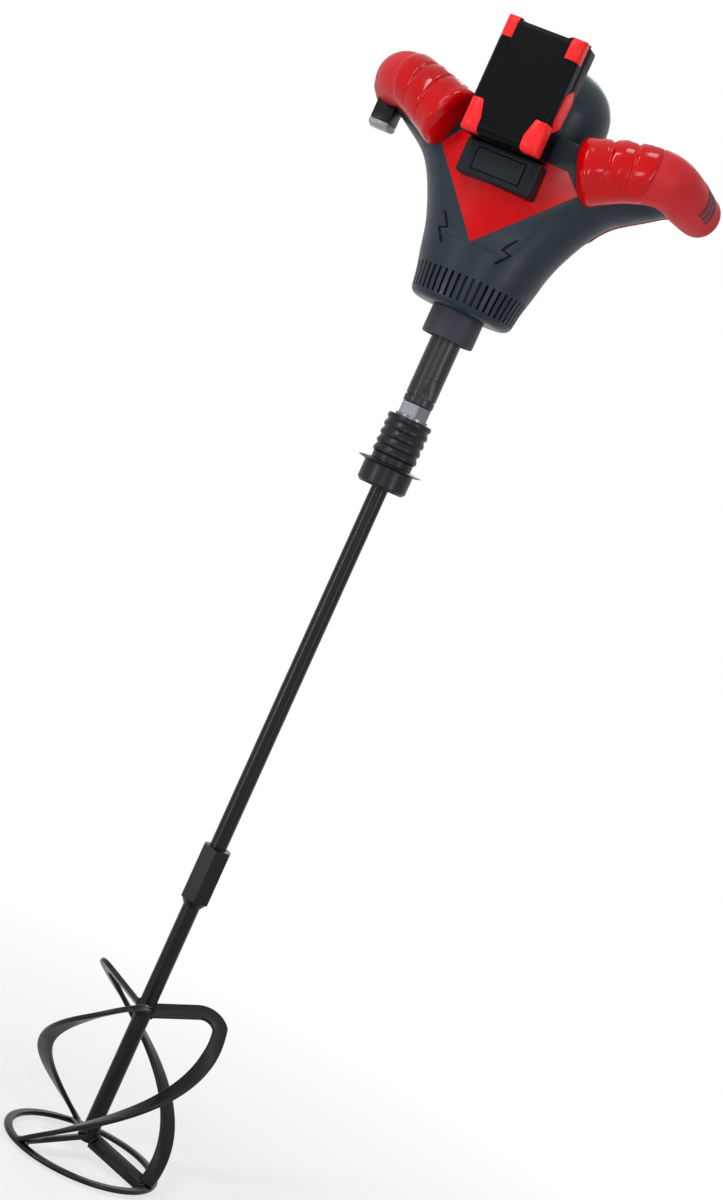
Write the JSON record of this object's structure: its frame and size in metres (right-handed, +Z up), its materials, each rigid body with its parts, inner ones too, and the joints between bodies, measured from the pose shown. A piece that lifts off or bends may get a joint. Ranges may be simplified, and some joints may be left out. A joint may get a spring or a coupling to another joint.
{
  "type": "cordless mixing drill",
  "caption": "Two-handled cordless mixing drill with a quick-release shaft and a helical paddle on a ring, for stirring mortar, adhesive and paint.",
  "frame": {"origin": "centre of the neck collar at the lower end of its cylindrical wall, on the spindle axis", "axes": "+Z up along the spindle axis, -Y towards the battery and the front panel, X along the handles"},
  "size_m": [0.305, 0.1558, 0.9568],
  "materials": {
    "cast_case": "painted casting",
    "black_steel": "glossy black",
    "bright_steel": "machined",
    "sleeve_black": "satin black",
    "housing_grey": "fine texture",
    "panel_red": "gloss",
    "grip_red": "gloss",
    "handle_red": "satin",
    "cap_red": "satin",
    "band_grey": "matt",
    "battery_black": "fine texture",
    "bumper_red": "satin",
    "trigger_black": "satin",
    "trigger_grey": "satin",
    "seal_rubber": "matt",
    "copper": "enamelled wire",
    "lamination": "laminated",
    "board_green": "solder mask",
    "fan_plastic": "moulded",
    "cell_foil": "foil"
  },
  "bodies": {
    "head": {"gearbox_case": "cast_case", "gearbox_plate": "cast_case", "gearbox_cover": "cast_case", "spindle_seal": "seal_rubber", "spindle_bearing_lower": "bright_steel", "spindle_bearing_upper": "bright_steel", "layshaft_bushes": "copper", "motor_bearings": "bright_steel", "motor_shell": "cast_case", "stator": "lamination", "stator_coils": "copper", "motor_end_plate": "cast_case", "controller_board": "board_green", "front_housing": "housing_grey", "rear_housing": "housing_grey", "front_panel": "panel_red", "rear_panel": "panel_red", "motor_cap": "housing_grey", "housing_screws": "bright_steel", "right_grip": "grip_red", "right_handle": "handle_red", "right_end_cap": "cap_red", "left_grip": "grip_red", "left_handle": "handle_red", "left_end_cap": "cap_red", "handle_bands": "band_grey", "trigger_spring": "bright_steel", "switch_body": "trigger_black", "battery_dock": "battery_black", "dock_contacts": "bright_steel", "release_spring": "bright_steel"},
    "drive": {"spindle": "black_steel", "output_gear": "bright_steel", "coupling_body": "bright_steel", "coupling_spring": "bright_steel", "coupling_clip": "bright_steel", "locking_balls": "bright_steel", "upper_rod": "black_steel", "rod_joint": "black_steel", "lower_rod": "black_steel", "paddle_ring": "black_steel", "paddle_spokes": "black_steel", "helix_blade_1": "black_steel", "helix_blade_2": "black_steel", "helix_blade_3": "black_steel"},
    "layshaft": {"layshaft": "bright_steel", "layshaft_gear": "bright_steel"},
    "rotor": {"rotor_shaft": "bright_steel", "rotor_core": "lamination", "cooling_fan": "fan_plastic"},
    "trigger": {"trigger": "trigger_black", "trigger_pad": "trigger_grey"},
    "release_button": {"release_button": "housing_grey"},
    "battery": {"battery_cover": "battery_black", "battery_base": "battery_black", "battery_bumpers": "bumper_red", "battery_cells": "cell_foil", "battery_terminals": "bright_steel"},
    "release_sleeve": {"coupling_sleeve": "sleeve_black"}
  },
  "joints": [
    {"name": "spindle_spin", "type": "hinge", "parent": "head", "child": "drive", "pos_m": [0, 0, 0], "axis": [0, 0, 1], "continuous": true},
    {"name": "layshaft_spin", "type": "hinge", "parent": "head", "child": "layshaft", "pos_m": [0, 0.0195, 0], "axis": [0, 0, 1], "continuous": true},
    {"name": "rotor_spin", "type": "hinge", "parent": "head", "child": "rotor", "pos_m": [0, 0, 0], "axis": [0, 0, 1], "continuous": true},
    {"name": "trigger_pull", "type": "slide", "parent": "head", "child": "trigger", "axis": [0, 0, 1], "range_m": [0, 0.008], "stiffness_N_per_m": 800, "springref_m": -0.006, "deforming": ["trigger_spring"]},
    {"name": "release_press", "type": "slide", "parent": "head", "child": "release_button", "axis": [0, 1, 0], "range_m": [0, 0.0025], "stiffness_N_per_m": 1000, "springref_m": -0.004, "deforming": ["release_spring"]},
    {"name": "battery_slide", "type": "slide", "parent": "head", "child": "battery", "axis": [0, 0, 1], "range_m": [0, 0.11]},
    {"name": "sleeve_slide", "type": "slide", "parent": "drive", "child": "release_sleeve", "axis": [0, 0, -1], "range_m": [0, 0.008], "stiffness_N_per_m": 1500, "springref_m": -0.01, "deforming": ["coupling_spring"]}
  ],
  "couplings": [
    {"joint": "layshaft_spin", "follows": "spindle_spin", "ratio": -4},
    {"joint": "rotor_spin", "follows": "spindle_spin", "ratio": 16}
  ]
}
